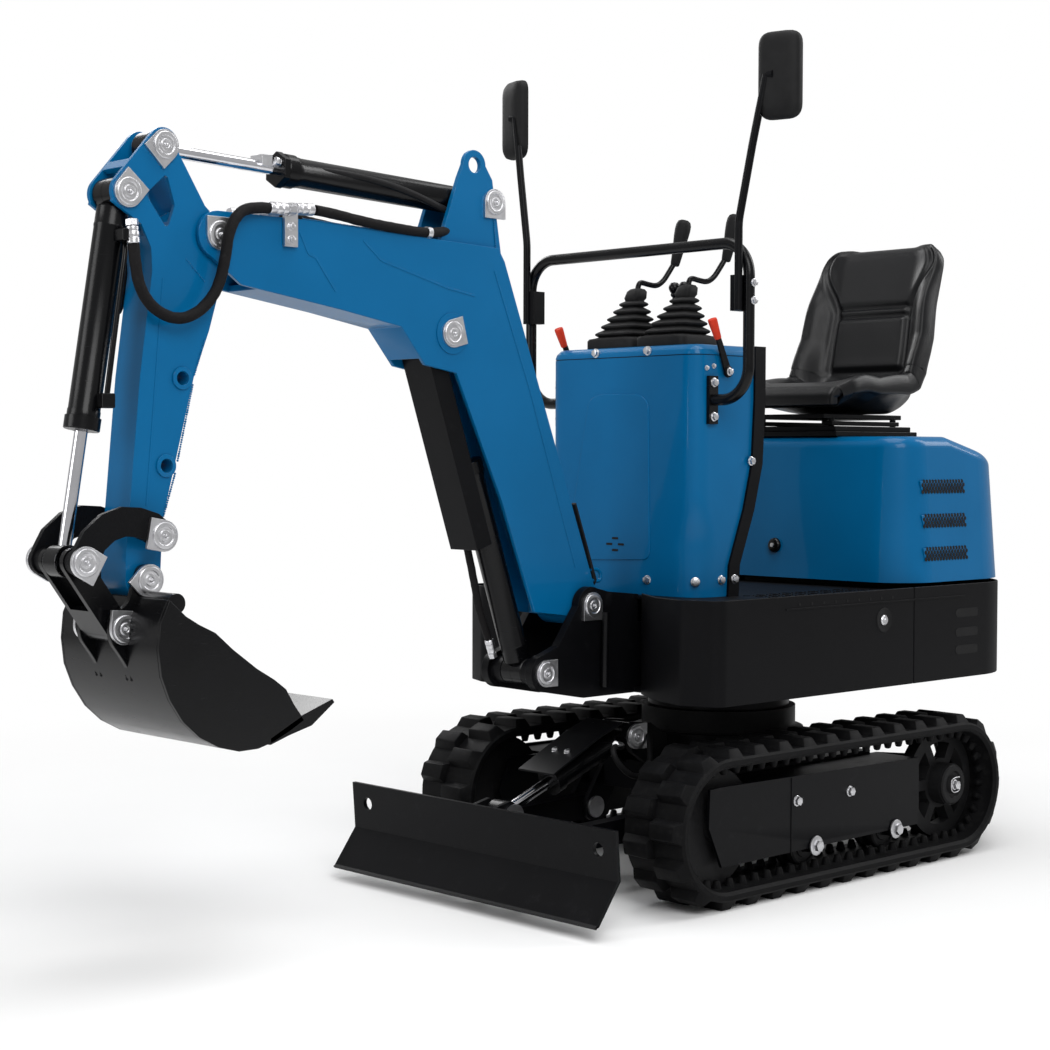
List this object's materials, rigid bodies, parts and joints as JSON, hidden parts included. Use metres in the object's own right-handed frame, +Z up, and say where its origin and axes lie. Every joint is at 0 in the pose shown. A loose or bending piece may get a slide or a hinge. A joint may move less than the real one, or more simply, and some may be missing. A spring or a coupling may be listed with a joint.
{
  "type": "mini excavator",
  "caption": "Compact tracked digger with slewing body, jointed boom, arm and bucket, front blade, open seat and tilting engine hood.",
  "frame": {"origin": "middle of the overall box at rest, on the ground", "axes": "+X forward along the tracks, towards the blade and bucket; +Y to the operator's left; +Z up"},
  "size_m": [2.627, 0.9594, 1.935],
  "materials": {
    "blue_paint": "gloss",
    "black_paint": "satin",
    "black_cover": "matt",
    "track_rubber": "matt",
    "chrome_rod": "polished",
    "zinc_plate": "satin",
    "seat_vinyl": "satin",
    "boot_rubber": "matt",
    "cast_steel": "rough",
    "hose_sleeve": "woven",
    "mirror_shell": "satin",
    "red_grip": "gloss"
  },
  "bodies": {
    "undercarriage": {"centre_frame": "black_paint", "slew_ring": "cast_steel", "chassis_pins": "zinc_plate", "left_track_frame": "black_paint", "left_track": "track_rubber", "left_idler": "cast_steel", "left_sprocket": "cast_steel", "left_rollers": "cast_steel", "right_track_frame": "black_paint", "right_track": "track_rubber", "right_idler": "cast_steel", "right_sprocket": "cast_steel", "right_rollers": "cast_steel"},
    "blade_assembly": {"blade": "black_paint", "blade_pins": "zinc_plate"},
    "blade_cylinder_body": {"blade_cylinder": "black_paint", "blade_cylinder_guard": "black_paint"},
    "blade_rod_body": {"blade_rod": "chrome_rod"},
    "upper_structure": {"swing_frame": "black_paint", "frame_pins": "zinc_plate", "left_cover": "black_cover", "right_cover": "black_cover", "rear_cover": "black_cover", "step_plate": "black_paint", "engine_block": "cast_steel", "hood_hinges": "zinc_plate", "console_cover": "blue_paint", "console_cap": "blue_paint", "console_back": "black_paint", "console_posts": "black_paint", "lever_boots": "boot_rubber", "control_levers": "black_paint", "safety_levers": "red_grip", "handrail": "black_paint", "mirror_stays": "black_paint", "mirrors": "mirror_shell"},
    "hood_and_seat": {"hood": "blue_paint", "seat_base": "black_paint", "seat": "seat_vinyl"},
    "boom_assembly": {"boom": "blue_paint", "boom_pins": "zinc_plate", "bucket_hose": "hose_sleeve"},
    "boom_cylinder_body": {"boom_cylinder": "black_paint"},
    "boom_rod_body": {"boom_rod": "chrome_rod", "boom_cylinder_guard": "black_paint"},
    "arm_assembly": {"arm": "blue_paint", "arm_pins": "zinc_plate"},
    "arm_cylinder_body": {"arm_cylinder": "black_paint"},
    "arm_rod_body": {"arm_rod": "chrome_rod"},
    "bucket_assembly": {"bucket": "black_paint", "bucket_pins": "zinc_plate"},
    "guide_link_body": {"guide_links": "black_paint"},
    "bucket_link_body": {"bucket_link": "black_paint"},
    "bucket_cylinder_body": {"bucket_cylinder": "black_paint"},
    "bucket_rod_body": {"bucket_rod": "chrome_rod"}
  },
  "joints": [
    {"name": "slew", "type": "hinge", "parent": "undercarriage", "child": "upper_structure", "pos_m": [-0.5625, 0, 0.385], "axis": [0, 0, 1], "continuous": true},
    {"name": "blade_lift", "type": "hinge", "parent": "undercarriage", "child": "blade_assembly", "pos_m": [-0.2325, 0, 0.15], "axis": [0, -1, 0], "range_deg": [-20, 18]},
    {"name": "hood_tilt", "type": "hinge", "parent": "upper_structure", "child": "hood_and_seat", "pos_m": [-1.3065, 0, 0.684], "axis": [0, -1, 0], "range_deg": [0, 60]},
    {"name": "boom_lift", "type": "hinge", "parent": "upper_structure", "child": "boom_assembly", "pos_m": [-0.0275, 0, 0.657], "axis": [0, -1, 0], "range_deg": [-45, 30]},
    {"name": "arm_swing", "type": "hinge", "parent": "boom_assembly", "child": "arm_assembly", "pos_m": [0.9725, 0, 1.42], "axis": [0, 1, 0], "range_deg": [-50, 34], "deforming": ["bucket_hose"]},
    {"name": "bucket_turn", "type": "hinge", "parent": "arm_assembly", "child": "bucket_assembly", "pos_m": [1.1375, 0, 0.761], "axis": [0, -1, 0], "range_deg": [-40, 70]},
    {"name": "blade_cylinder_swing", "type": "hinge", "parent": "undercarriage", "child": "blade_cylinder_body", "pos_m": [-0.2095, 0, 0.338], "axis": [0, -1, 0], "range_deg": [-19.4, 17.63]},
    {"name": "blade_rod_slide", "type": "slide", "parent": "blade_cylinder_body", "child": "blade_rod_body", "axis": [0.9365, 0, -0.3506], "range_m": [-0.0608, 0.06716]},
    {"name": "boom_cylinder_swing", "type": "hinge", "parent": "upper_structure", "child": "boom_cylinder_body", "pos_m": [0.1185, 0, 0.512], "axis": [0, -1, 0], "range_deg": [-44.6, 30.87]},
    {"name": "boom_rod_slide", "type": "slide", "parent": "boom_cylinder_body", "child": "boom_rod_body", "axis": [0.3231, 0, 0.9464], "range_m": [-0.15391, 0.10505]},
    {"name": "arm_cylinder_swing", "type": "hinge", "parent": "boom_assembly", "child": "arm_cylinder_body", "pos_m": [0.2435, 0, 1.545], "axis": [0, -1, 0], "range_deg": [-4.55, 6.45]},
    {"name": "arm_rod_slide", "type": "slide", "parent": "arm_cylinder_body", "child": "arm_rod_body", "axis": [0.9991, 0, 0.0414], "range_m": [-0.148, 0.10291]},
    {"name": "bucket_cylinder_swing", "type": "hinge", "parent": "arm_assembly", "child": "bucket_cylinder_body", "pos_m": [1.1685, 0, 1.486], "axis": [0, -1, 0], "range_deg": [-1.5, 2.48]},
    {"name": "bucket_rod_slide", "type": "slide", "parent": "bucket_cylinder_body", "child": "bucket_rod_body", "axis": [0.1651, 0, -0.9863], "range_m": [-0.12086, 0.0714]},
    {"name": "guide_link_swing", "type": "hinge", "parent": "arm_assembly", "child": "guide_link_body", "pos_m": [1.1165, 0, 0.844], "axis": [0, -1, 0], "range_deg": [-31.5, 52.26]},
    {"name": "bucket_link_swing", "type": "hinge", "parent": "bucket_assembly", "child": "bucket_link_body", "pos_m": [1.1925, 0, 0.672], "axis": [0, -1, 0], "range_deg": [-43.41, 26.16]}
  ],
  "couplings": [
    {"joint": "blade_cylinder_swing", "follows": "blade_lift", "ratio": 0.8859},
    {"joint": "blade_rod_slide", "follows": "blade_lift", "m_per_rad": -0.18201},
    {"joint": "boom_cylinder_swing", "follows": "boom_lift", "ratio": 0.9148},
    {"joint": "boom_rod_slide", "follows": "boom_lift", "m_per_rad": 0.18663},
    {"joint": "arm_cylinder_swing", "follows": "arm_swing", "ratio": -0.119},
    {"joint": "arm_rod_slide", "follows": "arm_swing", "m_per_rad": 0.16145},
    {"joint": "bucket_cylinder_swing", "follows": "bucket_turn", "ratio": 0.0329},
    {"joint": "bucket_rod_slide", "follows": "bucket_turn", "m_per_rad": -0.094475},
    {"joint": "guide_link_swing", "follows": "bucket_turn", "ratio": 0.6922},
    {"joint": "bucket_link_swing", "follows": "bucket_turn", "ratio": -0.5749}
  ]
}
